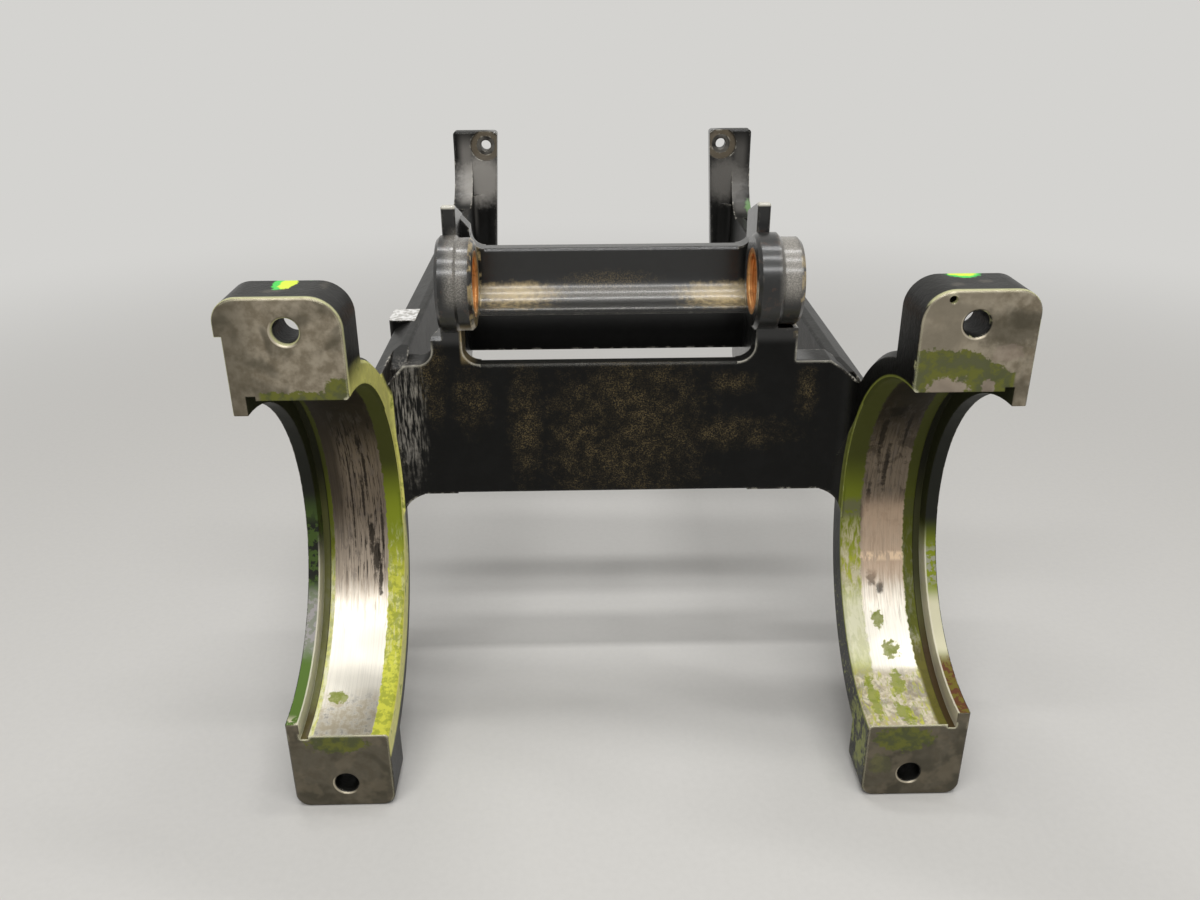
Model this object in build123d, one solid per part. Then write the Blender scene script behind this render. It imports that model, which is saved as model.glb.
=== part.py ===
from build123d import *
from math import sqrt
import os

# Millimetres. X runs along the common axis of the two saddles, Y runs from the cap faces
# to the rear ears, Z is up. The origin is the middle of that axis, in the plane of the cap faces.

# How far cutters run past a face and joined solids run into each other
past = 1.0

# Saddles
bore_radius = 50.8
lip_radius = 46.9
relief_radius = 51.9
ring_radius = 61.0
ring_drop = 3.0
ring_chamfer = 1.5
saddle_inner = 68.0
saddle_outer = 96.6
lip_width = 3.6
bore_chamfer = 0.8
face_chamfer = 0.4
relief_width = 2.4
pad_height = 76.2
block_depth = 16.5
block_root_radius = 6.0
block_chamfer = 1.3
pad_corner_inner = 8.0
pad_corner_outer = 6.0
pad_corner_foot = 4.0
nose_reach = 1.7
nose_foot = 66.8

# Cap bolts
bolt_x, bolt_z = 81.5, 68.0
bolt_hole = 6.5
bolt_seat = 13.5
bolt_seat_depth = 4.5
bolt_chamfer = 0.5
spot_reach = 7.0
index_x, index_z = 75.0, 74.0
index_hole = 2.0
index_depth = 3.0

# Web between the saddles
web_front, web_back = 52.2, 57.2
web_top, web_bottom = 40.5, -1.3
web_blend = 7.0
web_foot_blend = 9.0
web_clearance_radius = 52.0
web_round = 1.0
shoulder_inner, shoulder_outer = 50.6, 64.0
shoulder_back = 62.5
left_drop_x, left_drop = 64.3, 4.2
right_drop_x, right_drop = 61.0, 5.0
bowl_radius = 4.5
pocket_corner = 4.0
web_sink = 0.5

# Side rails: a flat crest inside, a shallow flank outside, the right one lower than the left
left_rail_inner, left_rail_outer, left_rail_top = 63.4, 72.0, 43.6
right_rail_inner, right_rail_outer, right_rail_top = 62.4, 71.0, 38.2
rail_crest = 66.0
rail_flank = 3.0
rail_bottom = 0.0
rail_start = 40.0
rail_round = 1.0
left_nose_top, right_nose_top = 39.5, 37.0
nose_back = 62.0
rail_flange = 5.0
rail_flange_height = 4.0

# Trunnion bosses and their stems, left is -X
trunnion_y, trunnion_z = 58.0, 63.0
boss_radius = 13.9
left_disc, left_hub, left_hub_radius = (-52.6, -46.3), (-47.0, -42.4), 13.2
right_disc, right_hub, right_hub_radius = (37.2, 44.6), (44.0, 50.5), 12.6
boss_chamfer = 1.0
bushing_outer = 9.5
bushing_bore = 7.94
bushing_chamfer = 0.5
left_stem, left_stem_back = (-52.6, -46.7), 72.5
right_stem, right_stem_back = (38.4, 44.6), 96.0
left_step_x, left_step_back_x, left_step_top = -55.7, -53.0, 49.0
right_step_x, right_step_top = 50.6, 50.6
step_back = 67.0
step_chamfer = 1.0
left_stem_foot, right_stem_foot = 12.7, 24.7
stem_front_foot = 4.7
stem_root = 0.7
stem_bar_drop = 6.0
stem_corner = 4.0
cut_corner = 5.0

# Crossbar between the bosses
bar_front, bar_back = 76.0, 82.0
bar_top, bar_bottom = 68.8, 36.8
ledge_front = 66.0
ledge_top = 53.1
ledge_thickness = 2.2
ledge_blend = 8.0
bar_round = 1.2
ledge_round = 0.7

# Fins over the bosses
left_fin, right_fin = (-51.8, -47.7), (38.9, 42.7)
fin_front = 64.0
fin_top, fin_back_top = 84.1, 78.8
fin_blend = 4.0
fin_flat = 2.0
fin_round = 0.7
left_root_x, right_root_x = -45.0, 39.6
left_root_lean = 0.2
left_root_rise = 6.3

# Rear ears
ear_front, ear_back = 280.0, 286.5
ear_top = 76.2
ear_inner_top, ear_inner_foot = 50.9, 54.4
ear_sweep = 20.0
ear_round = 1.6
ear_chamfer = 0.8
ear_root = 3.0
ear_corner = 6.0
ear_hole_x, ear_hole_z = 56.6, 69.7
ear_seat = 14.4
ear_seat_depth = 1.0
ear_bush_outer = 8.6
ear_bush_bore = 4.8
ear_bush_chamfer = 0.4

# Side lug on the left rail
lug_front, lug_back = 86.0, 98.0
lug_outer, lug_inner = 73.6, 65.0
lug_top, lug_bottom = 43.8, 33.8
lug_round = 1.5


def block(x, y, z):
    """A box between pairs of limits."""
    size = [abs(b - a) for a, b in (x, y, z)]
    middle = [(a + b) / 2 for a, b in (x, y, z)]
    return Pos(*middle) * Box(*size)


def rod(radius, x, y, z):
    """A cylinder along X between two limits."""
    return Pos((x[0] + x[1]) / 2, y, z) * Rot(0, 90, 0) * Cylinder(radius, abs(x[1] - x[0]))


def bolt_rod(radius, x, z, y):
    """A cylinder along Y between two limits."""
    return Pos(x, (y[0] + y[1]) / 2, z) * Rot(90, 0, 0) * Cylinder(radius, abs(y[1] - y[0]))


def post(radius, x, y):
    """A tall cylinder along Z."""
    return Pos(x, y, 0) * Cylinder(radius, 4 * pad_height)


def side_slab(face, x):
    """A face drawn in Y and Z, made solid between two X limits."""
    return Pos(min(x), 0, 0) * extrude(Plane.YZ * face, abs(x[1] - x[0]))


def front_slab(face, y):
    """A face drawn in X and Z, made solid between two Y limits."""
    return Pos(0, min(y), 0) * extrude(Plane.XZ * face, -abs(y[1] - y[0]))


def polygon(*points):
    return make_face(Polyline(*points, close=True))


def mirrored(side, low, high):
    """X limits on one side of the centre plane, in rising order."""
    return sorted((side * low, side * high))


def rounded(solid, axis, radius, wanted):
    """A solid with its edges along one axis filleted where the edge centre passes a test."""
    edges = [e for e in solid.edges().filter_by(axis) if wanted(e.center())]
    return fillet(edges, radius)


def saddle(side):
    """One half-round saddle with its upper and lower cap blocks."""
    x = mirrored(side, saddle_inner, saddle_outer)
    ring = Pos(0, -ring_drop) * Circle(ring_radius)
    ring &= Rectangle(2 * ring_radius, 4 * ring_radius, align=(Align.MIN, Align.CENTER))
    ring = side_slab(ring, x)
    solid = chamfer(ring.edges().filter_by(GeomType.CIRCLE), ring_chamfer)

    blocks = block(x, (0, block_depth), (-pad_height, pad_height))
    if side < 0:
        nose = (-saddle_outer - nose_reach, -saddle_outer + past)
        blocks += block(nose, (0, block_depth), (nose_foot, pad_height))
    reach = saddle_outer + (nose_reach if side < 0 else 0)
    blocks = rounded(blocks, Axis.Y, pad_corner_inner, lambda c: c.Z > pad_height - past
                     and abs(abs(c.X) - saddle_inner) < 0.1)
    blocks = rounded(blocks, Axis.Y, pad_corner_outer, lambda c: c.Z > pad_height - past
                     and abs(abs(c.X) - reach) < 0.1)
    blocks = rounded(blocks, Axis.Y, pad_corner_foot, lambda c: c.Z < past - pad_height)
    blocks = chamfer(blocks.faces().sort_by(Axis.Y)[-1].edges(), block_chamfer)
    solid += blocks
    for end in (1, -1):
        solid += block_root(x, end)
    front = [e for e in solid.edges() if abs(e.center().Y) < 0.01 and e.bounding_box().size.Y < 0.01]
    solid = chamfer(front, face_chamfer)
    land = mirrored(side, saddle_inner - past, saddle_outer - lip_width)
    relief = mirrored(side, saddle_outer - lip_width - relief_width, saddle_outer - lip_width)
    solid -= rod(bore_radius, land, 0, 0)
    solid -= rod(relief_radius, relief, 0, 0)
    rim = Cone(bore_radius + bore_chamfer, bore_radius, bore_chamfer)
    solid -= Pos(side * (saddle_inner + bore_chamfer / 2), 0, 0) * Rot(0, side * 90, 0) * rim
    return solid - rod(lip_radius, (x[0] - past, x[1] + past), 0, 0)


def block_root(x, end):
    """The fillet between the back of a cap block and the outside of the ring."""
    reach = ring_radius + block_root_radius
    rise = block_depth + block_root_radius
    centre_z = end * sqrt(reach ** 2 - rise ** 2) - ring_drop
    touch = ring_radius / reach
    touch_y, touch_z = rise * touch, (centre_z + ring_drop) * touch - ring_drop
    fill = side_slab(polygon((block_depth - past, centre_z), (block_depth, centre_z),
                             (touch_y, touch_z), (touch_y - past, touch_z - past * end),
                             (block_depth - past, touch_z - past * end)),
                     (x[0] + ring_chamfer, x[1] - ring_chamfer))
    return fill - rod(block_root_radius, (x[0] - past, x[1] + past), rise, centre_z)


def cap_bolt_holes(side):
    """Two bolt holes, each chamfered at the cap face and seated at the back."""
    holes = []
    x = side * bolt_x
    for z in (bolt_z, -bolt_z):
        holes.append(bolt_rod(bolt_hole / 2, x, z, (-past, block_depth + past)))
        seat = (block_depth - bolt_seat_depth, block_depth + spot_reach)
        holes.append(bolt_rod(bolt_seat / 2, x, z, seat))
        rim = Cone(bolt_hole / 2 + bolt_chamfer, bolt_hole / 2, bolt_chamfer)
        holes.append(Pos(x, bolt_chamfer / 2, z) * Rot(-90, 0, 0) * rim)
    return holes


def web():
    """The front wall with its shoulders, flared where it runs into the saddles."""
    reach = saddle_inner + web_sink
    plate = block((-reach, reach), (web_front, web_back), (web_bottom, web_top))
    plate = fillet(plate.edges().filter_by(Axis.X), web_round)
    for side, drop_x, drop in ((-1, left_drop_x, left_drop), (1, right_drop_x, right_drop)):
        plate += block(mirrored(side, shoulder_inner, shoulder_outer),
                       (web_front, shoulder_back), (web_bottom, web_top))
        near = saddle_inner - web_blend
        flare = block(mirrored(side, near, reach), (web_front - web_blend, web_back),
                      (web_bottom - web_foot_blend, web_top))
        flare -= post(web_blend, side * near, web_front - web_blend)
        centre_z = web_bottom - web_foot_blend
        flare -= bolt_rod(web_foot_blend, side * (saddle_inner - web_foot_blend), centre_z,
                          (web_front - web_blend - past, web_back + past))
        plate += flare
        slope = polygon((side * drop_x, web_top), (side * reach, web_top - drop),
                        (side * (reach + past), web_top + past), (side * drop_x, web_top + past))
        plate -= front_slab(slope, (web_front - 2 * web_blend, shoulder_back + past))
    plate -= rod(bore_radius, (-saddle_outer, saddle_outer), 0, 0)
    return plate - rod(web_clearance_radius, (-saddle_inner, saddle_inner), 0, 0)


def shoulder_bowl():
    """The hollow floor of the left shoulder, rising into the side of the step."""
    x = (left_step_x - bowl_radius, left_step_back_x)
    fill = block(x, (web_front, shoulder_back), (web_top - past, web_top + bowl_radius))
    return fill - bolt_rod(bowl_radius, x[0], web_top + bowl_radius,
                           (web_front - past, shoulder_back + past))


def pocket_corner_fill():
    """The rounded corner where the back of the right shoulder meets the rail."""
    fill = block((right_rail_inner - pocket_corner, right_rail_inner + past),
                 (shoulder_back - past, shoulder_back + pocket_corner), (web_bottom, right_rail_top))
    return fill - post(pocket_corner, right_rail_inner - pocket_corner, shoulder_back + pocket_corner)


def rail_sizes(side):
    """Inner face, outer face, top and nose height of one rail."""
    if side < 0:
        return left_rail_inner, left_rail_outer, left_rail_top, left_nose_top
    return right_rail_inner, right_rail_outer, right_rail_top, right_nose_top


def rail(side):
    """One side rail: a wall with a sloping outer flank, flanged inside below."""
    inner, outer, top, nose_top = rail_sizes(side)
    section = polygon((side * inner, rail_bottom), (side * outer, rail_bottom),
                      (side * outer, top - rail_flank), (side * rail_crest, top), (side * inner, top))
    section = fillet(section.vertices(), rail_round)
    wall = front_slab(section, (rail_start, ear_back))
    near = mirrored(side, inner - past, saddle_inner)
    wall -= block(near, (rail_start - past, web_front), (rail_bottom - past, top + past))
    nose = polygon((web_front - past, nose_top), (web_front, nose_top), (nose_back, top),
                   (nose_back, top + past), (web_front - past, top + past))
    wall -= side_slab(nose, near)
    wall += block(mirrored(side, inner - rail_flange, inner + past), (web_back, ear_front + past),
                  (rail_bottom, rail_bottom + rail_flange_height))
    return wall - rod(bore_radius, (-saddle_outer, saddle_outer), 0, 0)


def ear(side):
    """A rear ear standing on the rail, with a swept top face running up to it."""
    inner, outer, top, _ = rail_sizes(side)
    outline = polygon((side * ear_inner_foot, rail_bottom), (side * ear_inner_top, ear_top),
                      (side * outer, ear_top), (side * outer, rail_bottom))
    plate = front_slab(outline, (ear_front, ear_back))
    plate = rounded(plate, Axis.Y, ear_round, lambda c: c.Z > ear_top - past)
    plate = chamfer(plate.faces().sort_by(Axis.Y)[0].edges(), ear_chamfer)
    x = mirrored(side, inner, outer)
    sweep = block(x, (ear_front - ear_sweep, ear_front + past), (top - ear_root, top + ear_sweep))
    sweep -= rod(ear_sweep, (x[0] - past, x[1] + past), ear_front - ear_sweep, top + ear_sweep)
    fill = block(mirrored(side, inner - ear_corner, inner + past),
                 (ear_front - ear_corner, ear_front + past), (rail_bottom, top + ear_root))
    fill -= post(ear_corner, side * (inner - ear_corner), ear_front - ear_corner)
    plate += [sweep, fill]
    seat = (ear_front - past, ear_front + ear_seat_depth)
    plate -= bolt_rod(ear_seat / 2, side * ear_hole_x, ear_hole_z, seat)
    hole = (seat[0], ear_back + past)
    return plate - bolt_rod(ear_bush_outer / 2, side * ear_hole_x, ear_hole_z, hole)


def stem(limits, back, foot):
    """An upright rib from the web back to the crossbar that carries one boss."""
    profile = polygon((web_front, stem_front_foot), (web_front, trunnion_z), (bar_back, bar_top),
                      (bar_back, bar_bottom), (back, bar_bottom - stem_bar_drop),
                      (back, foot + stem_corner), (back - stem_corner, foot), (web_back, stem_root))
    return side_slab(profile, limits)


def steps():
    """The thickened feet of the stems beside the cut-out; the left one tapers to the back."""
    inner = left_stem[0] + past
    left = Pos(0, 0, web_bottom) * extrude(polygon(
        (inner, web_front), (left_step_x, web_front), (left_step_back_x, step_back),
        (inner, step_back)), left_step_top - web_bottom)
    left = chamfer(left.edges().filter_by(Axis.X).group_by(Axis.Z)[-1].sort_by(Axis.Y)[0], step_chamfer)
    right = block((right_stem[0], right_step_x), (web_front, step_back), (web_bottom, right_step_top))
    return [left, right]


def boss(disc, hub, hub_radius):
    """A trunnion boss: a disc and a slightly smaller hub beside it."""
    plate = rod(boss_radius, disc, trunnion_y, trunnion_z)
    plate = chamfer(plate.edges().filter_by(GeomType.CIRCLE), boss_chamfer)
    knob = rod(hub_radius, hub, trunnion_y, trunnion_z)
    free_rim = knob.edges().filter_by(GeomType.CIRCLE).sort_by(Axis.X)[-1]
    return [plate, chamfer(free_rim, boss_chamfer)]


def crossbar():
    """The T-section bar: an upright plate with a forward ledge blended into it."""
    under = ledge_top - ledge_thickness
    lines = Polyline((bar_front - ledge_blend, ledge_top), (ledge_front, ledge_top),
                     (ledge_front, under), (bar_front, under), (bar_front, bar_bottom),
                     (bar_back, bar_bottom), (bar_back, bar_top), (bar_front, bar_top),
                     (bar_front, ledge_top + ledge_blend))
    sag = ledge_blend * (1 - sqrt(0.5))
    blend = ThreePointArc((bar_front - ledge_blend, ledge_top), (bar_front - sag, ledge_top + sag),
                          (bar_front, ledge_top + ledge_blend))
    section = make_face([*lines.edges(), *blend.edges()])
    section = fillet(section.vertices().filter_by(lambda v: v.Y > bar_top - past), bar_round)
    section = fillet(section.vertices().filter_by(lambda v: v.X < ledge_front + past), ledge_round)
    return side_slab(section, (left_stem[1] - past, right_stem[0] + past))


def fin(limits):
    """An upright fin behind a boss, sloping down to the back."""
    profile = polygon((fin_front, trunnion_z), (fin_front, fin_top), (fin_front + fin_flat, fin_top),
                      (bar_back, fin_back_top), (bar_back, bar_bottom), (bar_front, bar_bottom))
    solid = side_slab(profile, limits)
    return fillet([e for e in solid.edges() if e.center().Z > trunnion_z + past], fin_round)


def fin_roots():
    """The back corners of the fins, where the top edge of the crossbar runs up into them."""
    y = (bar_front, bar_back)
    rise = bar_top + left_root_rise
    left = polygon((left_fin[0], bar_bottom), (left_fin[0], fin_back_top),
                   (left_fin[1] - fin_round, fin_back_top), (left_root_x - left_root_lean, rise),
                   (left_root_x, bar_top), (left_root_x + past, bar_bottom))
    right = polygon((right_fin[1], bar_bottom), (right_fin[1], fin_back_top),
                    (right_root_x, fin_back_top), (right_root_x, bar_top), (right_fin[0], bar_bottom))
    roots = [front_slab(left, y), front_slab(right, y)]
    for x, way in ((left_root_x, 1), (right_root_x, -1)):
        corner = block(sorted((x - way * past, x + way * fin_blend)), y,
                       (bar_top - past, bar_top + fin_blend))
        roots.append(corner - bolt_rod(fin_blend, x + way * fin_blend, bar_top + fin_blend,
                                       (bar_front - past, bar_back + past)))
    return roots


def lug():
    """The side lug on the left rail."""
    solid = block((-lug_outer, -lug_inner), (lug_front, lug_back), (lug_bottom, lug_top))
    return rounded(solid, Axis.Z, lug_round, lambda c: c.X < past - lug_outer)


def cut_out_corners():
    """The rounded lower corners of the cut-out between the stems."""
    fills = []
    for x, way in ((left_stem[1], 1), (right_stem[0], -1)):
        corner = block(sorted((x - way * past, x + way * cut_corner)), (web_front, web_back),
                       (web_top - past, web_top + cut_corner))
        fills.append(corner - bolt_rod(cut_corner, x + way * cut_corner, web_top + cut_corner,
                                       (web_front - past, web_back + past)))
    return fills


def cradle_frame():
    """The whole casting."""
    body = saddle(-1) + saddle(1) + web()
    for side in (-1, 1):
        body += rail(side)
        body += ear(side)
    body += shoulder_bowl()
    body += pocket_corner_fill()
    body += stem(left_stem, left_stem_back, left_stem_foot)
    body += stem(right_stem, right_stem_back, right_stem_foot)
    body += steps()
    body += crossbar()
    body += [fin(left_fin), fin(right_fin)]
    body += fin_roots()
    body += cut_out_corners()
    body += boss(left_disc, left_hub, left_hub_radius)
    body += boss(right_disc, right_hub, right_hub_radius)
    body += lug()
    for side in (-1, 1):
        body -= cap_bolt_holes(side)
    body -= bolt_rod(index_hole / 2, index_x, index_z, (-past, index_depth))
    for span in (left_span, right_span):
        body -= rod(bushing_outer, (span[0] - past, span[1] + past), trunnion_y, trunnion_z)
    return body


def trunnion_bushing(span):
    """A plain bushing as long as its boss."""
    ring = rod(bushing_outer, span, trunnion_y, trunnion_z)
    ring -= rod(bushing_bore, (span[0] - past, span[1] + past), trunnion_y, trunnion_z)
    rims = [e for e in ring.edges().filter_by(GeomType.CIRCLE) if e.radius < bushing_outer - past]
    return chamfer(rims, bushing_chamfer)


def ear_bushing(side):
    """A small bushing through a rear ear, flush with its front seat."""
    y = (ear_front + ear_seat_depth, ear_back)
    ring = bolt_rod(ear_bush_outer / 2, side * ear_hole_x, ear_hole_z, y)
    ring -= bolt_rod(ear_bush_bore / 2, side * ear_hole_x, ear_hole_z, (y[0] - past, y[1] + past))
    rims = [e for e in ring.edges().filter_by(GeomType.CIRCLE) if e.radius < ear_bush_outer / 2 - past]
    return chamfer(rims, ear_bush_chamfer)


left_span = (left_disc[0], left_hub[1])
right_span = (right_disc[0], right_hub[1])

os.makedirs("parts", exist_ok=True)
export_step(cradle_frame(), "parts/cradle_frame.step")
export_step(trunnion_bushing(left_span), "parts/trunnion_bushing_left.step")
export_step(trunnion_bushing(right_span), "parts/trunnion_bushing_right.step")
export_step(ear_bushing(-1), "parts/ear_bushing_left.step")
export_step(ear_bushing(1), "parts/ear_bushing_right.step")
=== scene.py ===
import math
import bpy
from mathutils import Matrix, Vector


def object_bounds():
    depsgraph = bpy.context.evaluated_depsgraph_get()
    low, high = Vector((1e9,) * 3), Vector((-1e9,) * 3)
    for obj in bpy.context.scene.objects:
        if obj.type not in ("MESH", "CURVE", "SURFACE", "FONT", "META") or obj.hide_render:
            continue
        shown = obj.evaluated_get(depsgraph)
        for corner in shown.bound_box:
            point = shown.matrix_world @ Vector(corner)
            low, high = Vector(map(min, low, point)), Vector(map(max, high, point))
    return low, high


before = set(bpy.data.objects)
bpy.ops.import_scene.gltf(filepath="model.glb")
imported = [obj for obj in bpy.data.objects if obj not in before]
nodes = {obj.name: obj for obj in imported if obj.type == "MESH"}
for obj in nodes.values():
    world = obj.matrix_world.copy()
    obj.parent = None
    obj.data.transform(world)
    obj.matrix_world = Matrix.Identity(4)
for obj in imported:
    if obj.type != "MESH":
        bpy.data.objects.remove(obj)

cadLow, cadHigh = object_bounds()
perMetre = 1000.0  # millimetres
perRadian = 57.2958  # degrees
print("loaded", len(nodes), "pieces: the casting and its bushings")


class Flow:  # one shader socket, so that its maths reads as Python
    def __init__(self, tree, socket):
        self.tree = tree
        self.socket = socket

    def maths(self, operation, *others):
        sockets = dict(enumerate((self,) + others))
        return self.tree.node("ShaderNodeMath", {"operation": operation}, sockets)

    def __add__(self, other):
        return self.maths("ADD", other)

    def __radd__(self, other):
        return self.maths("ADD", other)

    def __sub__(self, other):
        return self.maths("SUBTRACT", other)

    def __rsub__(self, other):
        return self.maths("MULTIPLY_ADD", -1.0, other)

    def __mul__(self, other):
        return self.maths("MULTIPLY", other)

    def __rmul__(self, other):
        return self.maths("MULTIPLY", other)

    def __pow__(self, other):
        return self.maths("POWER", other)

    def __abs__(self):
        return self.maths("ABSOLUTE")

    def least(self, other):
        return self.maths("MINIMUM", other)

    def most(self, other):
        return self.maths("MAXIMUM", other)

    def rise(self, low, high):  # 0 below low, 1 above high, smooth between
        sockets = {0: self, 1: low, 2: high, 3: 0.0, 4: 1.0}
        return self.tree.node("ShaderNodeMapRange", {"interpolation_type": "SMOOTHSTEP"}, sockets)

    def fall(self, low, high):
        sockets = {0: self, 1: low, 2: high, 3: 1.0, 4: 0.0}
        return self.tree.node("ShaderNodeMapRange", {"interpolation_type": "SMOOTHSTEP"}, sockets)

    def band(self, low, high, soft):  # 1 between low and high
        return self.rise(low - soft, low + soft) * self.fall(high - soft, high + soft)

    def reach(self, other):  # how far from the origin, with these two as the legs
        return (self * self + other * other) ** 0.5


class Tree:  # a node tree and the calls that add to it
    def __init__(self, nodeTree):
        self.nodeTree = nodeTree

    def node(self, kind, settings, sockets, output=0):
        made = self.nodeTree.nodes.new(kind)
        for key, value in settings.items():
            setattr(made, key, value)
        for key, value in sockets.items():
            if isinstance(value, Flow):
                self.nodeTree.links.new(value.socket, made.inputs[key])
            else:
                made.inputs[key].default_value = value
        return Flow(self, made.outputs[output])

    def mix(self, share, first, second):  # colours
        settings = {"data_type": "RGBA", "clamp_factor": True}
        return self.node("ShaderNodeMix", settings, {0: share, 6: first, 7: second}, 2)

    def vector(self, x, y, z):
        return self.node("ShaderNodeCombineXYZ", {}, {0: x, 1: y, 2: z})

    def seen(self):  # 1 where the camera or a reflection looks, 0 for light that spreads
        path = {name: self.node("ShaderNodeLightPath", {}, {}, name)
                for name in ("Is Camera Ray", "Is Glossy Ray", "Is Transmission Ray")}
        return path["Is Camera Ray"].most(path["Is Glossy Ray"]).most(path["Is Transmission Ray"])


class Coats:  # a tone that others are laid over, each mask worked out just before it is used
    def __init__(self, tree, tone):
        self.tree = tree
        self.tone = tone

    def lay(self, share, colour):
        self.tone = self.tree.mix(share, self.tone, colour)


class Finish(Tree):  # a material, with positions in millimetres and the skins that make it up
    def __init__(self, name):
        self.material = bpy.data.materials.new(name)
        self.material.use_nodes = True
        super().__init__(self.material.node_tree)
        self.nodeTree.nodes.clear()
        self.output = self.nodeTree.nodes.new("ShaderNodeOutputMaterial")
        self.place = self.node("ShaderNodeTexCoord", {}, {}, "Object")
        inMm = self.node("ShaderNodeVectorMath", {"operation": "SCALE"}, {0: self.place, 3: perMetre})
        self.x, self.y, self.z = (self.node("ShaderNodeSeparateXYZ", {}, {0: inMm}, axis) for axis in "XYZ")
        self.ragged = (self.noise(0.55, 4.0, 0.6) - 0.5) * 2.0  # about -0.4 to 0.4, for torn outlines

    def skin(self, constants, fed):  # a Principled shader, from set values and from ones that vary
        return self.node("ShaderNodeBsdfPrincipled", {}, {**constants, **fed})

    def blend(self, share, first, second):  # skins
        return self.node("ShaderNodeMixShader", {}, {0: share, 1: first, 2: second})

    def show(self, skin):
        self.nodeTree.links.new(skin.socket, self.output.inputs[0])

    def noise(self, perMm, detail=3.0, rough=0.5, stretch=None, twist=0.0):
        where = self.place
        if stretch:
            where = self.node("ShaderNodeMapping", {}, {"Vector": self.place, "Scale": stretch})
        sockets = {"Vector": where, "Scale": perMm * perMetre, "Detail": detail,
                   "Roughness": rough, "Distortion": twist}
        return self.node("ShaderNodeTexNoise", {}, sockets)

    def spot(self, plane, at, reach, torn=0.5, soft=0.12):  # a patch with a torn outline
        from0 = self.node("ShaderNodeVectorMath", {"operation": "SUBTRACT"}, {0: plane, 1: (*at, 0.0)})
        inReach = self.node("ShaderNodeVectorMath", {"operation": "DIVIDE"}, {0: from0, 1: (*reach, 1.0)})
        away = self.node("ShaderNodeVectorMath", {"operation": "LENGTH"}, {0: inReach}, "Value")
        return self.ragged.maths("MULTIPLY_ADD", torn, away).fall(1 - soft, 1 + soft)

    def spots(self, plane, places, torn=0.5, soft=0.12):
        found = None
        for at, reach in places:
            one = self.spot(plane, at, reach, torn, soft)
            found = found.most(one) if found else one
        return found

    def edges(self, reachMm):  # rises on outside edges, where little metal lies behind the surface
        settings = {"inside": True, "only_local": True, "samples": 6}
        return 1 - self.node("ShaderNodeAmbientOcclusion", settings, {"Distance": reachMm / perMetre}, "AO")

    def eased(self, radiusMm):  # the surface's direction with its edges rounded off
        return self.node("ShaderNodeBevel", {"samples": 4}, {"Radius": radiusMm / perMetre})

    def bump(self, height, strength, distance, normal):
        sockets = {"Strength": strength, "Distance": distance, "Height": height, "Normal": normal}
        return self.node("ShaderNodeBump", {}, sockets)


def paint(r, g, b):  # a colour as it looks on screen, 0 to 255, made linear for the shader
    shown = [c / 255 for c in (r, g, b)]
    linear = [c / 12.92 if c <= 0.04045 else ((c + 0.055) / 1.055) ** 2.4 for c in shown]
    return (*linear, 1.0)


# Cap faces: bare, mottled metal with torn films of olive primer, the lower pads darkened by painted shade. In
# millimetres, a patch has its place in X and Z and its reach, and a pair of numbers is where a mark starts
# and ends, or where it fades
capFaces = {
    "clean": paint(166, 156, 138), "worn": paint(130, 120, 102), "shade": paint(82, 77, 64),
    "low": paint(72, 69, 58), "film": paint(96, 99, 16), "filmDark": paint(62, 70, 10),
    "rim": paint(206, 196, 174), "pink": paint(160, 144, 132), "line": paint(232, 228, 196),
    "filmBumpLeft": ((-70.3, 53.4), (3.6, 3.0)), "smudgeRight": ((90.0, 66.5), (8.0, 4.6)),
    "bareRight": [((76.4, 51.4), (5.0, 3.2)), ((86.4, 51.6), (1.7, 2.2)), ((89.8, 60.8), (3.8, 2.0))],
    "filmLowLeft": ((-82.6, -53.4), (8.2, 3.4)), "filmLowRight": ((78.6, -55.6), (8.6, 4.2)),
    "filmFaint": ((72.6, -64.6), (3.2, 3.6)),
    "filmTop": 61.6, "filmSlope": (80, 93), "filmDrop": 6.0, "filmEnd": (92.2, 92.9),
    "filmTopLeft": (52.7, 53.2), "filmEndLeft": (89.0, 90.2), "tear": 2.4,
    "holeRim": (3.2, 3.95), "rimBelow": (-2.6, 0.4), "clearOfHole": (4.2, 4.6),
    "shadeFrom": (86, 95), "cleanTo": (83, 88),
    "topEdge": (74.2, 74.9), "lowerEdge": (-52.4, -50), "innerEdge": (69.2, 69.8),
}


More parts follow.
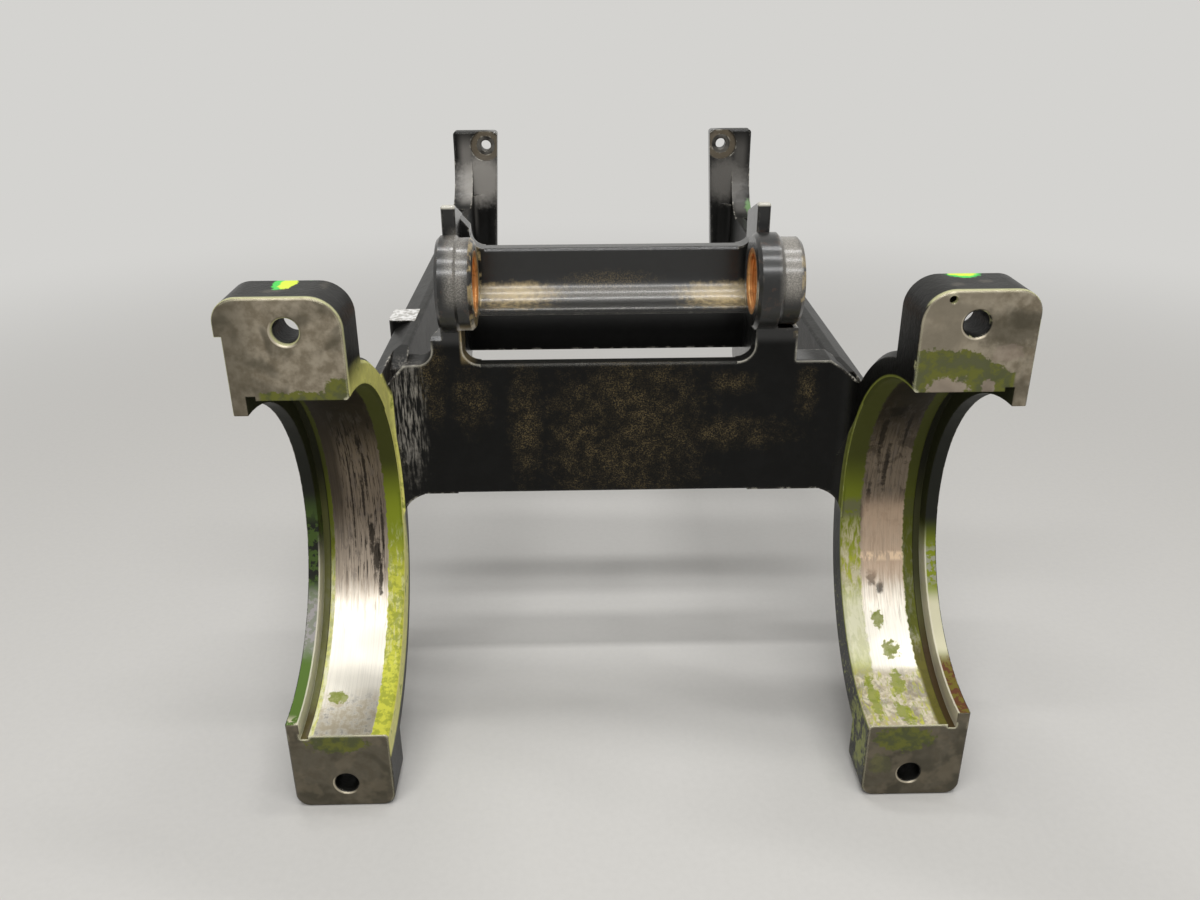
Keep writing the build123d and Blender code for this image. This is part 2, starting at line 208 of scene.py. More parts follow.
def capFaceTone(cast):
    c = capFaces
    x, z, side, left, upper = cast.x, cast.z, cast.side, cast.left, cast.upper
    mottle = cast.noise(0.3, 3.0, 0.6)
    right, lower = 1 - left, 1 - upper
    coats = Coats(cast, cast.mix(mottle.rise(0.34, 0.66), c["worn"], c["clean"]))
    coats.lay(cast.noise(0.075, 3.0, 0.55, twist=0.6).rise(0.47, 0.62) * 0.7, c["shade"])
    coats.lay(side.rise(*c["shadeFrom"]) * left * upper * 0.6, c["shade"])
    coats.lay(right * upper * x.fall(*c["cleanTo"]) * 0.45, c["clean"])
    coats.lay(cast.spot(cast.front, *c["smudgeRight"], torn=0.7, soft=0.5) * upper * 0.72, c["shade"])
    # Painted shade and a painted reflection of the dark floor: the lower pads darker
    coats.lay(lower * (0.5 + mottle * 0.45), c["low"])
    coats.lay(lower * cast.noise(0.11, 3.0, 0.6).rise(0.48, 0.6) * 0.4, c["worn"])
    bareRight = cast.spots(cast.front, c["bareRight"], torn=0.9)
    coats.lay(bareRight * upper * 0.4, c["pink"])
    filmTop = c["filmTop"] - x.rise(*c["filmSlope"]) * c["filmDrop"] + cast.ragged * c["tear"]
    film = (z - filmTop).fall(-0.25, 0.25) * side.fall(*c["filmEnd"]) * (1 - bareRight) * right * upper
    filmLeft = (z + cast.ragged * c["tear"]).fall(*c["filmTopLeft"]) * side.fall(*c["filmEndLeft"])
    filmLeft = filmLeft.most(cast.spot(cast.front, *c["filmBumpLeft"], torn=0.7))
    film = film.most(filmLeft * left * upper)
    filmLow = cast.spots(cast.front, [c["filmLowLeft"], c["filmLowRight"]], torn=0.8)
    film = film.most(filmLow.most(cast.spot(cast.front, *c["filmFaint"], torn=0.9) * 0.45))
    filmTone = cast.mix(mottle.rise(0.4, 0.6), c["filmDark"], c["film"])
    coats.lay(film * (0.84 + mottle.rise(0.35, 0.6) * 0.14), filmTone)
    holeSide, holeUp = machining["hole"]
    fromHole = (side - holeSide).reach(abs(z) - holeUp)
    lowerLeft = (x - x.maths("SIGN") * holeSide + z - z.maths("SIGN") * holeUp).fall(*c["rimBelow"])
    coats.lay(fromHole.band(*c["holeRim"], 0.12) * lowerLeft * 0.75, c["rim"])
    line = z.rise(*c["topEdge"]) + z.band(*c["lowerEdge"], 0.3) + side.fall(*c["innerEdge"])
    coats.lay(cast.edge * line.least(1.0) * fromHole.rise(*c["clearOfHole"]) * 0.85, c["line"])
    return coats.tone, film


# Saddle bores: scratched lands with painted shade at the top and a painted reflection of the lamps low down,
# primer beside them, a groove and an outer lip. Places are X in millimetres and the turn about the axis in
# degrees, 0 at the back, up positive
bores = {
    "landShadeAndStain": paint(50, 44, 36), "landMid": paint(122, 110, 96), "land": paint(176, 162, 146),
    "landPaintedReflection": paint(224, 219, 207), "scratch": paint(30, 26, 22), "violet": paint(92, 86, 84),
    "brown": paint(64, 46, 24), "cream": paint(226, 216, 190), "beige": paint(190, 176, 146),
    "pink": paint(208, 180, 154), "stripOliveAndShade": paint(62, 66, 8), "stripMid": paint(132, 144, 30),
    "strip": paint(212, 212, 78), "stripPale": paint(240, 238, 206), "moss": paint(150, 158, 58),
    "grey": paint(124, 118, 110), "groove": paint(96, 96, 56), "lipGreen": paint(88, 116, 46),
    "lipDark": paint(22, 24, 16), "lipGrey": paint(168, 163, 162), "lipCream": paint(230, 224, 194),
    "rust": paint(98, 50, 36), "edge": paint(240, 234, 210), "paintedGlint": paint(255, 226, 190),
    "scratchesLeft": [((-78.8, 21), (0.6, 5)), ((-78.1, 9), (0.5, 8)), ((-82.9, 0), (0.25, 22)),
                      ((-79.6, -2), (0.4, 7)), ((-77.8, -16), (0.9, 6)), ((-76.4, -23), (1.1, 6)),
                      ((-75.2, -31), (0.6, 6)), ((-74.4, -12), (0.4, 9))],
    "scratchesRight": [((79.5, 34), (2.6, 3)), ((77.2, 22), (0.9, 8)), ((80.2, 8), (0.8, 9)),
                       ((76.0, -4), (0.7, 5)), ((77.4, -33), (1.5, 2.4)), ((79.8, -37), (1.0, 2.4)),
                       ((84, 26), (0.5, 7))],
    "mossRight": [((78.1, -48), (1.9, 2.8)), ((80.8, -59), (2.2, 3.2)), ((80.3, -72), (1.9, 4.4)),
                  ((79.8, -84), (2.1, 4.6)), ((72.2, -77), (1.6, 9.0))],
    "mossLeft": [((-84.8, -73.5), (2.7, 2.2))],
    "outStripLeft": (89.1, 89.4), "outStripRight": (87.1, 87.6), "inStripLeft": (72.7, 73.1),
    "inStripRight": (73.6, 74.4), "footBelow": (-70, -64), "footWide": (87, 88.5),
    "grooveAt": (90.7, 92.95), "grooveEdgeAt": (90.5, 91.05),
    "lipFrom": (92.9, 93.05), "lipEdgeAt": (92.95, 93.5),
    "scoredWide": (73.6, 86), "scoredTurn": (-32, 36), "pinkWide": (74.5, 88.5), "paintedGlintTurn": (-27.2, -24.2),
    "paintedReflectionFrom": (-50, -28), "paintedReflectionWander": 30,
}


def boreTone(cast):
    b = bores
    side, turn, left = cast.side, cast.turn, cast.left
    right = 1 - left
    dragged = cast.noise(1.0, 4.0, 0.65, (0.7, 0.2, 0.2), 0.5)
    crumb = cast.noise(0.42, 5.0, 0.68)

    # The land: painted shade darkens it towards the top, and a painted reflection of the lamps makes it near
    # white low down, under a wandering edge
    coats = Coats(cast, cast.mix(turn.fall(8, 34), b["landShadeAndStain"], b["landMid"]))  # the land
    coats.lay(turn.fall(-26, -4), b["land"])
    drawn = cast.noise(1.0, 5.0, 0.66, (1.7, 0.12, 0.12), 0.3)
    low = (turn + (drawn - 0.5) * b["paintedReflectionWander"]).fall(*b["paintedReflectionFrom"])
    coats.lay(low, b["landPaintedReflection"])
    brushed = cast.noise(1.0, 3.0, 0.6, (3.6, 0.05, 0.05))
    coats.lay(brushed.rise(0.44, 0.62) * (0.34 - low * 0.24), b["landShadeAndStain"])
    coats.lay(dragged.rise(0.5, 0.62) * turn.band(-34, 40, 6) * 0.35, b["violet"])
    cloud = cast.noise(0.16, 4.0, 0.62, twist=0.8)
    coats.lay(right * cloud.rise(0.48, 0.6) * turn.rise(-24, -10) * 0.6, b["landShadeAndStain"])
    scored = drawn.rise(0.53, 0.60) * turn.band(*b["scoredTurn"], 6) * side.band(*b["scoredWide"], 2.0)
    coats.lay(scored * (0.85 - right * 0.45), b["scratch"])
    coats.lay(drawn.rise(0.60, 0.66) * turn.band(-50, -32, 6) * 0.3, b["grey"])
    coats.lay(cast.spots(cast.unrolled, b["scratchesLeft"], 1.0, 0.3) * 0.85, b["scratch"])
    coats.lay(cast.spots(cast.unrolled, b["scratchesRight"], 1.2, 0.4) * 0.8, b["scratch"])
    # Painted shade: a dark band along the outboard edge of the left land
    coats.lay(left * side.rise(83.6, 87.0) * turn.rise(-26, 4) * 0.8, b["landShadeAndStain"])
    pinkish = right * side.band(*b["pinkWide"], 1.0) * turn.band(-33, -6, 5)
    coats.lay(pinkish * (0.25 + dragged * 0.6), b["pink"])
    # Painted highlight: a broken line of warm glints across the right land
    coats.lay(right * turn.band(*b["paintedGlintTurn"], 0.7) * dragged.rise(0.40, 0.6) * 0.6, b["paintedGlint"])
    foot = left * turn.fall(-78, -68)
    coats.lay(foot * crumb.rise(0.40, 0.6) * 0.7, b["beige"])
    coats.lay(foot * crumb.fall(0.34, 0.46) * 0.5, b["grey"])

    # The primer strips: painted shade makes them dark olive towards the top
    primer = Coats(cast, cast.mix(turn.fall(-4, 14), b["stripOliveAndShade"], b["stripMid"]))  # the strips beside it
    primer.lay(turn.fall(-32, -14) * (left + right * 0.5), b["strip"])
    primer.lay(dragged.rise(0.46, 0.6) * turn.band(-60, -16, 8) * (left * 0.45 + right * 0.9), b["stripPale"])
    primer.lay(crumb.rise(0.46, 0.58) * turn.fall(-24, -12) * 0.7, b["moss"])
    primer.lay(right * turn.band(-11.5, -5, 1.5) * crumb.rise(0.36, 0.46) * 0.7, b["grey"])
    primer.lay(right * turn.rise(-30, -8) * 0.5, b["stripOliveAndShade"])
    waver = cast.ragged * 0.9
    outStrip = left * (side + waver * 0.6).rise(*b["outStripLeft"])
    outStrip = outStrip + right * (side + waver).rise(*b["outStripRight"])
    primer.lay(outStrip * turn.rise(-62, -50) * (right * 0.85), b["stripOliveAndShade"])
    paleShare = 0.35 + dragged.rise(0.44, 0.58) * 0.5
    primer.lay(outStrip * left * turn.fall(-36, -18) * paleShare, b["stripPale"])
    primer.lay(outStrip * left * turn.rise(-36, -16) * 0.75, b["stripOliveAndShade"])
    primer.lay(outStrip * turn.fall(-60, -52) * right * 0.8, b["brown"])
    inStrip = left * (side + waver).fall(*b["inStripLeft"])
    inStrip = inStrip + right * (side + waver * 1.6).fall(*b["inStripRight"])
    primer.lay(right * inStrip * turn.band(-38, -14, 5) * dragged.rise(0.4, 0.55) * 0.6, b["beige"])
    paleShare = 0.75 + dragged.rise(0.4, 0.55) * 0.25
    # Painted highlight: the right inner strip near white low down, where the lamps' glare falls
    primer.lay(right * inStrip * turn.band(-64, -38, 7) * paleShare, b["stripPale"])
    covered = inStrip.most(outStrip)
    coats.lay(covered, primer.tone)

    flood = right * turn.fall(*b["footBelow"]) * side.fall(*b["footWide"])  # the right bore's mottled foot
    coats.lay(flood * 0.9, cast.mix(crumb.rise(0.42, 0.58), b["beige"], b["cream"]))
    coats.lay(flood * cloud.rise(0.5, 0.62) * 0.55, b["grey"])
    coats.lay(flood * dragged.rise(0.5, 0.62) * 0.8, cast.mix(crumb.rise(0.4, 0.6), b["strip"], b["moss"]))
    mossy = cast.spots(cast.unrolled, b["mossRight"], 1.6).most(cast.spots(cast.unrolled, b["mossLeft"], 1.2))
    coats.lay(mossy * (0.5 + crumb * 0.6), cast.mix(crumb.rise(0.4, 0.6), b["moss"], b["stripMid"]))
    covered = covered.most(flood).most(mossy)

    groove = side.band(*b["grooveAt"], 0.12)
    rusty = left * turn.fall(-80, -74) + right * turn.fall(-60, -40)
    coats.lay(groove * 0.9, cast.mix(rusty, b["groove"], b["brown"]))
    coats.lay(groove * turn.rise(-10, 12) * 0.85, b["lipDark"])
    coats.lay(right * groove * turn.rise(-50, -30) * 0.6, b["lipDark"])
    coats.lay(side.band(*b["grooveEdgeAt"], 0.1) * 0.75, b["scratch"])

    chips = cast.noise(0.5, 4.0, 0.65).rise(0.46, 0.54)
    lipLeft = Coats(cast, cast.mix(turn.rise(-14, 4), b["lipGreen"], b["lipDark"]))
    lipLeft.lay(turn.band(-34, -6, 5) * (0.5 + chips * 0.5), b["lipDark"])
    lipLeft.lay(turn.band(-58, -36, 5) * (0.6 + chips * 0.4), b["lipGrey"])
    lipLeft.lay(turn.fall(-88, -84) * chips * 0.8, b["cream"])
    lipRight = Coats(cast, cast.mix(turn.rise(-26, -10), b["stripMid"], b["lipDark"]))
    lipRight.lay(turn.band(-36, -22, 3) * chips * 0.7, b["lipGrey"])
    lipRight.lay(turn.band(-64, -40, 4) * 0.9, b["lipCream"])
    lipRight.lay(turn.fall(-67, -61) * (0.6 + chips * 0.35), b["rust"])
    lip = side.rise(*b["lipFrom"])
    coats.lay(lip, cast.mix(left, lipRight.tone, lipLeft.tone))
    coats.lay(side.band(*b["lipEdgeAt"], 0.12) * turn.fall(-30, -12) * 0.75, b["edge"])
    return coats.tone, covered.most(groove).most(lip)


# Black paint, where it is rubbed, chipped and marked, with painted highlights, a painted sheen and a painted
# reflection. Places are X and Z in millimetres, for dabs and scuffs on the block tops X and Y, and for the
# boss and the foot Y and Z
blackPaint = {
    "deep": paint(5, 5, 4), "film": paint(11, 11, 10), "dust": paint(44, 43, 39), "tan": paint(120, 104, 70),
    "gold": paint(224, 198, 142), "chip": paint(214, 210, 196), "greyRub": paint(104, 98, 88),
    "paleRubAndHighlight": paint(164, 159, 150), "primer": paint(248, 246, 188), "cheek": paint(244, 240, 140),
    "moss": paint(160, 168, 76), "umber": paint(64, 42, 28), "mint": paint(120, 158, 104),
    "dab": paint(226, 246, 70), "dabEdge": paint(72, 214, 84), "earPaintedSheen": paint(164, 160, 154),
    "seat": paint(110, 100, 84),
    "rubs": [((4, 20), (14, 24)), ((-13, 17), (7, 15)), ((-29, 22), (3.5, 15)), ((-45, 29), (4, 7)),
             ((-56, 38), (3, 11)), ((32, 34), (5, 2.6)), ((54.5, 31), (2.4, 6)), ((30, 18), (15, 4))],
    "flareReflectionStreaks": [((-63.8, 27), (3.6, 16))], "flareDeep": (34, 56),
    "dabs": [((-83.9, 12.6), (2.3, 5.6)), ((-77.9, 16.4), (1.1, 1.2)), ((81.6, 14.6), (4.2, 3.2))],
    "dabCores": [((-82.7, 12.8), (2.0, 5.2)), ((-77.8, 16.4), (1.0, 1.1)), ((81.4, 15.4), (3.6, 2.6))],
    "earChips": [((-67.4, 33.0), (2.0, 2.4)), ((71.6, 32.4), (1.3, 1.5))],
    "earMoss": [((70.6, 39.5), (2.2, 5.0))], "earPaintedSheens": [((-59.5, 54), (11, 11)), ((60, 53), (10, 10))],
    "earHole": (56.6, 69.7), "earSeatReach": (7.0, 7.3), "earSeatFrom": (278, 279),
    "filletGoldWearAndHighlight": [((-33, 55.8), (11, 2.0)), ((31, 55.4), (10, 2.0))],
    "filletDeep": (66, 76.5), "filletHigh": (54.2, 57.2), "filletWide": (41, 44),
    "blockScuffs": [((-84.8, 6), (2.6, 1.4)), ((77.4, 5.4), (1.6, 1.4)), ((85, 8), (1.6, 1.2)),
                    ((-72, 12), (2.4, 3.0))],
    "barRub": ((-3.5, 58.4), (11, 2.6)), "barFace": (74, 77), "ledgeDeep": (64, 67.5), "ledgeHigh": (49, 54),
    "ledgeWide": (46, 48), "finTop": (83.0, 83.5), "finFront": (67.6, 68.4), "boss": ((58, 63), (15, 15)),
    "bossWide": (36, 54), "scuffAndHighlightWide": (44, 49.5), "scuffAndHighlightLean": 0.55, "scuffAndHighlightFrom": (33.0, 40.0),
    "hubEndLeft": (-43.4, -42.2), "hubHighLeft": (50, 78),
    "hubEndRight": (49.2, 50.8), "hubHighRight": (50, 72),
    "stemWide": (-47.2, -43), "stemHigh": (41.5, 53), "stemFront": (60, 63),
    "flankWide": (63, 69), "flankHigh": (30, 72), "earFrom": (258, 270), "earMarksFrom": (262, 270),
    "webDeep": (38, 53.5), "webHigh": (-2, 47), "webWide": (64, 66), "shoulder": (38, 40),
    "capBeside": (0.9, 1.7), "capInner": (66, 67.5), "capHigh": (72, 74), "blockTop": (75.4, 75.9),
    "blockInner": (66, 67), "cheekLeft": (67.2, 68.85), "cheekReach": (57.6, 59.4), "cheekDeep": (52, 56),
    "cheekHigh": (50, 60), "cheekRight": (67.2, 68.9), "cheekReachRight": (51.6, 52.3),
    "fleckWide": (68.2, 68.4), "fleckReach": (64, 70), "fleckTurn": (-44, -24),
    "footRub": ((9, -60), (8, 10)), "footWide": (68.3, 68.6), "glossWithin": (52, 58),
}


def paintTone(cast):
    p = blackPaint
    x, y, z, side, radius, turn = cast.x, cast.y, cast.z, cast.side, cast.radius, cast.turn
    left, upper, edge = cast.left, cast.upper, cast.edge
    right = 1 - left
    mottle = cast.noise(0.22, 4.0, 0.6)
    speckle = cast.noise(2.6, 4.0, 0.72)
    chipNoise = cast.noise(0.32, 4.0, 0.7)
    coats = Coats(cast, cast.mix(mottle.rise(0.35, 0.7), p["deep"], p["film"]))
    facing = cast.node("ShaderNodeNewGeometry", {}, {}, "Normal")
    up = cast.node("ShaderNodeSeparateXYZ", {}, {0: facing}, "Z")
    forward = cast.node("ShaderNodeSeparateXYZ", {}, {0: facing}, "Y").fall(-0.5, -0.15)  # 1 on front faces
    coats.lay(up.rise(0.35, 0.95) * (0.1 + cast.noise(0.06, 3.0, 0.55) * 0.25), p["dust"])

    rubbed = cast.spots(cast.front, p["rubs"], 1.2, 0.9) * cast.web  # web and crossbar
    coats.lay(rubbed * speckle.rise(0.44, 0.64) * (0.14 + mottle.rise(0.38, 0.62) * 0.56), p["tan"])
    # Painted reflection: pale streaks on the web's flare into the left saddle
    paintedFlareReflection = cast.spots(cast.front, p["flareReflectionStreaks"], 0.8, 0.9) * y.band(*p["flareDeep"], 3)
    streaks = cast.noise(1.0, 4.0, 0.65, (1.3, 1.3, 0.16))
    coats.lay(paintedFlareReflection * streaks.rise(0.42, 0.62) * 0.9, p["paleRubAndHighlight"])
    barRub = cast.spot(cast.front, *p["barRub"], 1.0, 0.7) * y.band(*p["barFace"], 0.5)
    coats.lay(barRub * speckle.rise(0.45, 0.6) * 0.5, p["tan"])
    # Along the crossbar's fillet: a painted highlight, golden at both ends where the paint is also worn, pale
    # in between
    goldFilletWearAndHighlight = cast.spots(cast.front, p["filletGoldWearAndHighlight"], 0.9, 0.8) * y.band(*p["filletDeep"], 0.5)
    coats.lay(goldFilletWearAndHighlight * (0.45 + mottle * 0.55), p["gold"])
    paintedFilletHighlight = y.band(*p["filletDeep"], 0.5) * z.band(*p["filletHigh"], 1.0) * side.fall(*p["filletWide"])
    coats.lay(paintedFilletHighlight * (0.26 + speckle.rise(0.44, 0.62) * 0.2), p["paleRubAndHighlight"])

    boss = cast.spot(cast.profile, *p["boss"], 0.1) * side.band(*p["bossWide"], 1)
    coats.lay(boss * chipNoise.rise(0.56, 0.64) * 0.5, p["umber"])
    # On the bosses' upper front: a painted highlight, speckled like scuffed paint
    bossScuffAndHighlight = boss * (z - y * p["scuffAndHighlightLean"]).rise(*p["scuffAndHighlightFrom"]) * side.band(*p["scuffAndHighlightWide"], 1.6)
    coats.lay(bossScuffAndHighlight * (0.3 + speckle.rise(0.44, 0.6) * 0.4 + right * 0.2), p["paleRubAndHighlight"])
    hubGold = x.band(*p["hubEndLeft"], 0.15) * z.band(*p["hubHighLeft"], 3)
    hubGold = hubGold.most(x.band(*p["hubEndRight"], 0.2) * z.band(*p["hubHighRight"], 3))
    coats.lay(hubGold * mottle.rise(0.42, 0.56) * (0.1 + speckle * 0.7), p["gold"])
    stemGold = x.band(*p["stemWide"], 0.5) * z.band(*p["stemHigh"], 1.5) * y.fall(*p["stemFront"])
    coats.lay(stemGold * (0.25 + edge * 0.6), p["gold"])

    # On the rear ears: a painted sheen on their front faces, stronger on the left ear
    flank = side.band(*p["flankWide"], 2) * z.band(*p["flankHigh"], 6)  # of the rear ears
    paintedEarSheen = cast.spots(cast.front, p["earPaintedSheens"], 0.3, 0.45).most(flank * 0.6)
    coats.lay(paintedEarSheen * y.rise(*p["earFrom"]) * forward * (left * 0.5 + 0.4), p["earPaintedSheen"])
    earSide, earUp = p["earHole"]
    seat = (side - earSide).reach(z - earUp).fall(*p["earSeatReach"]) * y.rise(*p["earSeatFrom"]) * forward
    coats.lay(seat * (0.6 + mottle * 0.4), p["seat"])

    coats.lay(edge * 0.2, p["greyRub"])
    # Along the web's top edges and the ledge's front edge: painted highlights, laid as pale worn paint
    ledge = y.band(*p["ledgeDeep"], 0.5) * z.band(*p["ledgeHigh"], 1) * side.fall(*p["ledgeWide"])
    wornAndHighlitEdges = (cast.web * z.rise(*p["shoulder"]) + ledge).least(1.0)
    coats.lay(edge * wornAndHighlitEdges * 0.6, p["chip"])
    coats.lay(edge * chipNoise.rise(0.50, 0.60) * 0.75, p["chip"])
    coats.lay(z.rise(*p["finTop"]) * y.fall(*p["finFront"]) * 0.85, p["chip"])
    onEars = y.rise(*p["earMarksFrom"]) * forward
    coats.lay(cast.spots(cast.front, p["earMoss"], 0.8, 0.3) * onEars * 0.8, p["mint"])
    coats.lay(cast.spots(cast.front, p["earChips"], 0.9, 0.2) * onEars * 0.9, p["chip"])

    capLine = y.fall(*p["capBeside"]) * side.rise(*p["capInner"]) * upper  # primer round the cap faces
    capLine = capLine * (left + z.rise(*p["capHigh"]) + mottle.rise(0.52, 0.6)).least(1.0)
    coats.lay(capLine * (0.55 + edge * 0.45) * 0.9, p["primer"])
    cheek = left * side.band(*p["cheekLeft"], 0.1) * radius.fall(*p["cheekReach"])  # primer beside the bores
    cheek = cheek * y.fall(*p["cheekDeep"]) * z.fall(*p["cheekHigh"])
    cheekTone = cast.mix(mottle.rise(0.54, 0.7), p["cheek"], p["moss"])
    coats.lay(cheek * (0.84 + mottle.rise(0.4, 0.6) * 0.16), cheekTone)
    cheekRight = right * side.band(*p["cheekRight"], 0.1) * radius.fall(*p["cheekReachRight"])
    coats.lay(cheekRight * 0.7, p["moss"])
    flecks = right * side.fall(*p["fleckWide"]) * radius.fall(*p["fleckReach"]) * turn.fall(*p["fleckTurn"])
    coats.lay(flecks * cast.noise(0.8, 3.0, 0.7).rise(0.60, 0.66) * 0.8, p["moss"])
    footRub = cast.spot(cast.profile, *p["footRub"], 1.0, 0.3) * right * side.fall(*p["footWide"])
    coats.lay(footRub * mottle.rise(0.42, 0.52) * 0.6, p["moss"])

    top = z.rise(*p["blockTop"]) * side.rise(*p["blockInner"])  # marks on top of the saddle blocks
    coats.lay(cast.spots(cast.top, p["blockScuffs"], 1.3, 0.5) * top * 0.35, p["greyRub"])
    coats.lay(cast.spots(cast.top, p["dabs"], 0.6) * top, p["dabEdge"])
    coats.lay(cast.spots(cast.top, p["dabCores"], 0.6) * top, p["dab"])
    return coats.tone


# What is machined bare, in millimetres, and how rough, shiny and grained metal and paint are
machining = {
    "padDepth": 0.3, "boreEdge": 52.4, "boreWide": (68.12, 96.45),
    "hole": (81.5, 68.0), "holeEdge": (3.3, 3.6),
    "lugTop": 43.8, "lugSide": (-65.2, -65.0), "lugDeep": (85.5, 98.5),
    "wornEdge": 1.0, "easedEdge": 0.6, "metalRough": 0.28, "paintRough": 0.34, "coatRough": 0.23,
    "paintSpecular": 0.16, "boreSpecular": 0.25, "grainDepth": 0.0003, "turnedDepth": 0.0002,
    "silver": paint(246, 245, 242), "dull": paint(176, 173, 166),
}


def makeCast():
    m, p = machining, blackPaint
    cast = Finish("castBlackAndMachined")
    x, y, z = cast.x, cast.y, cast.z
    cast.side = abs(x)
    cast.radius = y.reach(z)
    cast.turn = z.maths("ARCTAN2", y) * perRadian
    cast.front, cast.top = cast.vector(x, z, 0.0), cast.vector(x, y, 0.0)
    cast.profile, cast.unrolled = cast.vector(y, z, 0.0), cast.vector(x, cast.turn, 0.0)
    cast.web = y.band(*p["webDeep"], 0.4) * z.band(*p["webHigh"], 1.5) * cast.side.fall(*p["webWide"])
    cast.left, cast.upper = x.fall(-1, 1), z.rise(-1, 1)
    cast.edge = cast.edges(m["wornEdge"]).rise(0.14, 0.5)
    wear = cast.noise(0.18, 3.0, 0.6)
    eased = cast.eased(m["easedEdge"])
    turned = cast.bump(wear, 0.1, m["turnedDepth"], eased)

    holeSide, holeUp = m["hole"]
    outOfHoles = (cast.side - holeSide).reach(abs(z) - holeUp).rise(*m["holeEdge"])  # they are dull inside
    grain = cast.noise(0.95, 4.0, 0.62) * 0.5 + cast.noise(0.28, 3.0, 0.6) * 0.35
    pebbled = cast.bump(grain, 0.8, m["grainDepth"], eased)
    gloss = (1 - cast.web) * (1 - cast.side.rise(*p["glossWithin"]) * 0.88) * outOfHoles
    black = cast.skin({"Specular IOR Level": m["paintSpecular"], "Coat Roughness": m["coatRough"]}, {
        "Base Color": paintTone(cast), "Roughness": m["paintRough"] + wear * 0.14, "Normal": pebbled,
        "Coat Weight": gloss})

    saddleTone, covered = boreTone(cast)
    saddle = cast.skin({"Specular IOR Level": m["boreSpecular"]}, {
        "Base Color": saddleTone, "Metallic": (1 - covered * 0.92) * 0.8, "Normal": turned,
        "Roughness": m["metalRough"] + wear * 0.22 + covered * 0.2})

    capTone, film = capFaceTone(cast)
    lug = z.band(m["lugTop"] - 0.25, m["lugTop"] + 0.4, 0.05) * x.fall(*m["lugSide"])
    lug = lug * y.band(*m["lugDeep"], 0.3)
    lugTone = cast.mix(cast.noise(0.5, 4.0, 0.65).rise(0.4, 0.62), m["silver"], m["dull"])
    capTone = cast.mix(lug, capTone, lugTone)
    cap = cast.skin({}, {
        "Base Color": capTone, "Metallic": 0.8 - film * 0.72, "Normal": turned,
        "Roughness": m["metalRough"] + wear * 0.22})

    bore = cast.radius.fall(m["boreEdge"] - 0.1, m["boreEdge"] + 0.05) * cast.side.band(*m["boreWide"], 0.08)
    face = y.fall(m["padDepth"] - 0.2, m["padDepth"] + 0.1)
    cast.show(cast.blend(face.most(lug), cast.blend(bore, black, saddle), cap))
    return cast.material


# The bushings in the bosses: turned, bright, with darker spots
bronze = {"deep": paint(112, 64, 30), "mid": paint(196, 126, 66), "bright": paint(238, 190, 128),
          "metal": 0.7, "rough": 0.28}


def makeBronze():
    ring = Finish("bushingBronze")
    turned = ring.noise(1.0, 3.0, 0.5, (2.2, 0.06, 0.06))
    spots = ring.noise(0.35, 4.0, 0.6)
    tone = ring.mix(turned.rise(0.35, 0.65), bronze["mid"], bronze["bright"])
    ring.show(ring.skin({}, {
        "Base Color": ring.mix(spots.rise(0.5, 0.7) * 0.6, tone, bronze["deep"]),
        "Metallic": bronze["metal"] + turned * 0.2, "Roughness": bronze["rough"] + spots * 0.25,
        "Normal": ring.bump(turned, 0.3, 0.0001, ring.eased(0.3))}))
    return ring.material


# The small bushings in the rear ears: dull and dark
steel = {"dark": paint(58, 56, 53), "mid": paint(112, 109, 103), "metal": 0.8, "rough": 0.34}


def makeSteel():
    ring = Finish("bushingSteel")
    spots = ring.noise(0.3, 2.0, 0.5)
    ring.show(ring.skin({}, {
        "Base Color": ring.mix(spots.rise(0.3, 0.7), steel["dark"], steel["mid"]),
        "Metallic": steel["metal"] + spots * 0.1, "Roughness": steel["rough"] + spots * 0.2,
        "Normal": ring.bump(spots, 0.1, 0.0001, ring.eased(0.2))}))
    return ring.material


def dress(name, material):
    slots = nodes[name].material_slots
    if not slots:
        nodes[name].data.materials.append(material)
    for held in slots:
        held.material = material


castPaint = makeCast()
bushingBronze = makeBronze()
bushingSteel = makeSteel()
dress("cradle_frame", castPaint)
for name in ("trunnion_bushing_left", "trunnion_bushing_right"):
    dress(name, bushingBronze)
for name in ("ear_bushing_left", "ear_bushing_right"):
    dress(name, bushingSteel)
print("painted the casting and the bushings")


# The floor under the feet, which fades into the pale backdrop: metres, and millimetres for the fade
floorPlan = {"half": 8.0, "colour": paint(214, 212, 208), "speckle": paint(208, 206, 202),
             "backdrop": paint(212, 211, 208), "fadeFrom": 280, "fadeTo": 800, "gap": 0.00005}


def makeFloor():
    half = floorPlan["half"]
    corners = [(-half, -half, 0), (half, -half, 0), (half, half, 0), (-half, half, 0)]
    mesh = bpy.data.meshes.new("floor")
    mesh.from_pydata(corners, [], [(0, 1, 2, 3)])
    floor = bpy.data.objects.new("floor", mesh)
    floor.location = (0, 0, cadLow[2] - floorPlan["gap"])
    bpy.context.collection.objects.link(floor)
    finish = Finish("paleFloor")
    tone = finish.mix(finish.noise(0.5, 2.0, 0.5), floorPlan["colour"], floorPlan["speckle"])
    own = finish.skin({"Roughness": 0.9, "Specular IOR Level": 0.1}, {"Base Color": tone})
    far = finish.x.reach(finish.y).rise(floorPlan["fadeFrom"], floorPlan["fadeTo"]) * finish.seen()
    glow = finish.node("ShaderNodeEmission", {}, {"Color": floorPlan["backdrop"], "Strength": 1.0})
    finish.show(finish.blend(far, own, glow))
    mesh.materials.append(finish.material)


makeFloor()
print("laid the floor")


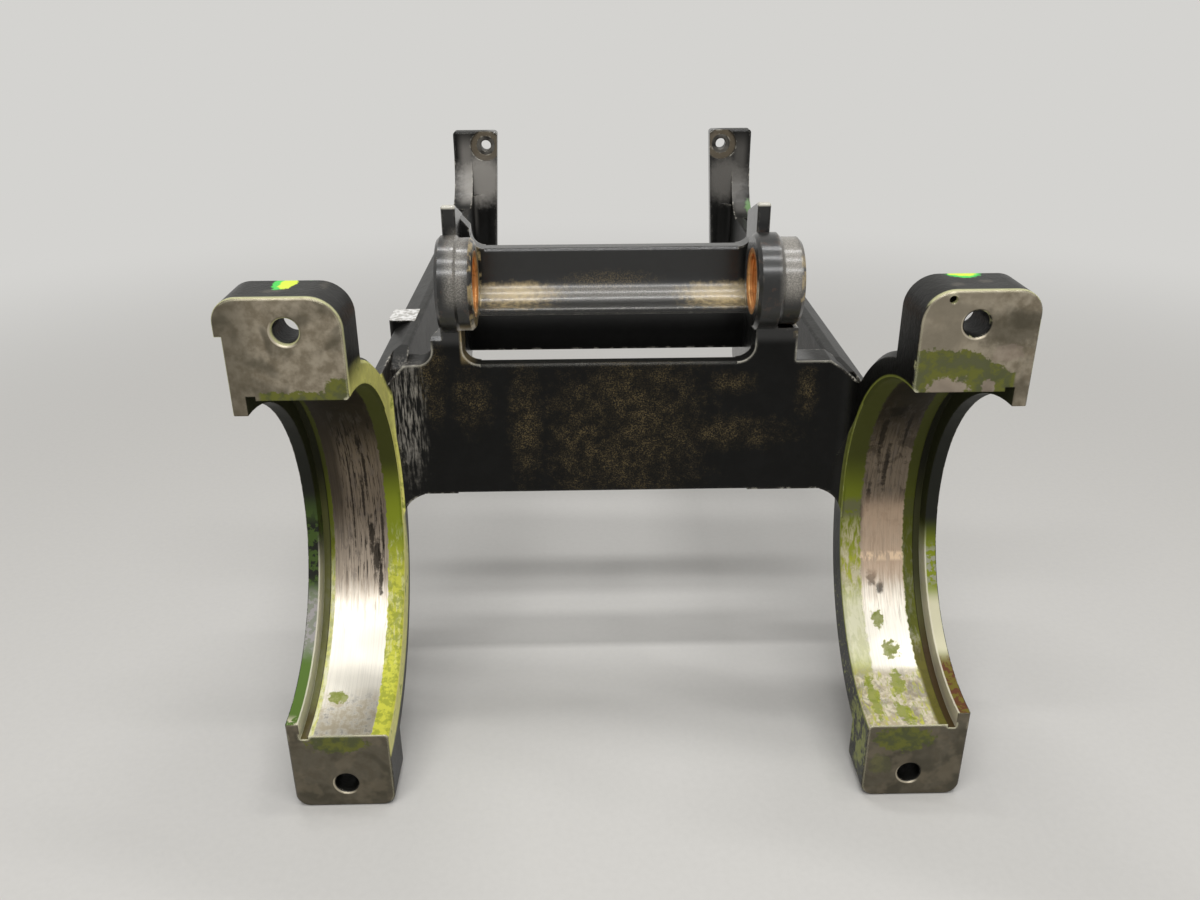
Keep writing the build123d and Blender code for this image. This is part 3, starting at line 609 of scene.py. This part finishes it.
# Tube lamps over the object, as ceiling panels: degrees up from the front, metres away, and their glow
lamps = {
    "tubeFront": {"up": 45, "aside": -0.06, "away": 1.0, "size": (0.9, 0.05), "glow": 25.5},
    "tubeOver": {"up": 70, "aside": 0.0, "away": 1.0, "size": (0.9, 0.05), "glow": 25.5},
    "tubeBack": {"up": 98, "aside": 0.05, "away": 1.0, "size": (0.9, 0.05), "glow": 25.5},
}
studio = {"fill": 0.32, "aim": Vector((0.0, 0.08, 0.0))}


def makeLamps():
    for name, plan in lamps.items():
        data = bpy.data.lights.new(name, "AREA")
        data.shape = "RECTANGLE"
        data.size, data.size_y = plan["size"]
        data.energy = plan["glow"] * math.pi * data.size * data.size_y
        up = math.radians(plan["up"])
        ray = Vector((plan["aside"], -math.cos(up), math.sin(up))) * plan["away"]
        lamp = bpy.data.objects.new(name, data)
        lamp.location = studio["aim"] + ray
        lamp.rotation_euler = (-ray).to_track_quat("-Z", "Y").to_euler()
        bpy.context.collection.objects.link(lamp)


def makeWorld():
    world = bpy.data.worlds.new("studio")
    world.use_nodes = True
    bpy.context.scene.world = world
    tree = Tree(world.node_tree)
    back = world.node_tree.nodes["Background"]
    back.inputs[0].default_value = floorPlan["backdrop"]
    strength = studio["fill"] + tree.seen() * (1 - studio["fill"])
    world.node_tree.links.new(strength.socket, back.inputs[1])


makeLamps()
makeWorld()
print("set the lamps")


# The camera, fitted to the photograph: millimetres and degrees
shot = {"at": (-12.5, -232.1, 143.0), "down": 24.616, "right": 1.116, "roll": -0.317,
        "focalPx": 1032.3, "imagePx": 1200, "sensorMm": 36.0}


def makeCamera():
    down, turn, roll = (math.radians(shot[k]) for k in ("down", "right", "roll"))
    ahead = Vector((math.sin(turn) * math.cos(down), math.cos(turn) * math.cos(down), -math.sin(down)))
    across = Vector((math.cos(turn), -math.sin(turn), 0.0))
    up = across.cross(ahead)
    rolledAcross = across * math.cos(roll) + up * math.sin(roll)
    rolledUp = up * math.cos(roll) - across * math.sin(roll)
    axes = Matrix((rolledAcross, rolledUp, -ahead)).transposed().to_4x4()
    data = bpy.data.cameras.new("photoCamera")
    data.sensor_fit = "HORIZONTAL"
    data.sensor_width = shot["sensorMm"]
    data.lens = shot["focalPx"] / shot["imagePx"] * shot["sensorMm"]
    data.clip_start = 0.01
    camera = bpy.data.objects.new("photoCamera", data)
    camera.matrix_world = Matrix.Translation(Vector(shot["at"]) / perMetre) @ axes
    bpy.context.collection.objects.link(camera)
    bpy.context.scene.camera = camera


makeCamera()
bpy.context.scene.view_settings.view_transform = "Standard"
print("placed the camera")
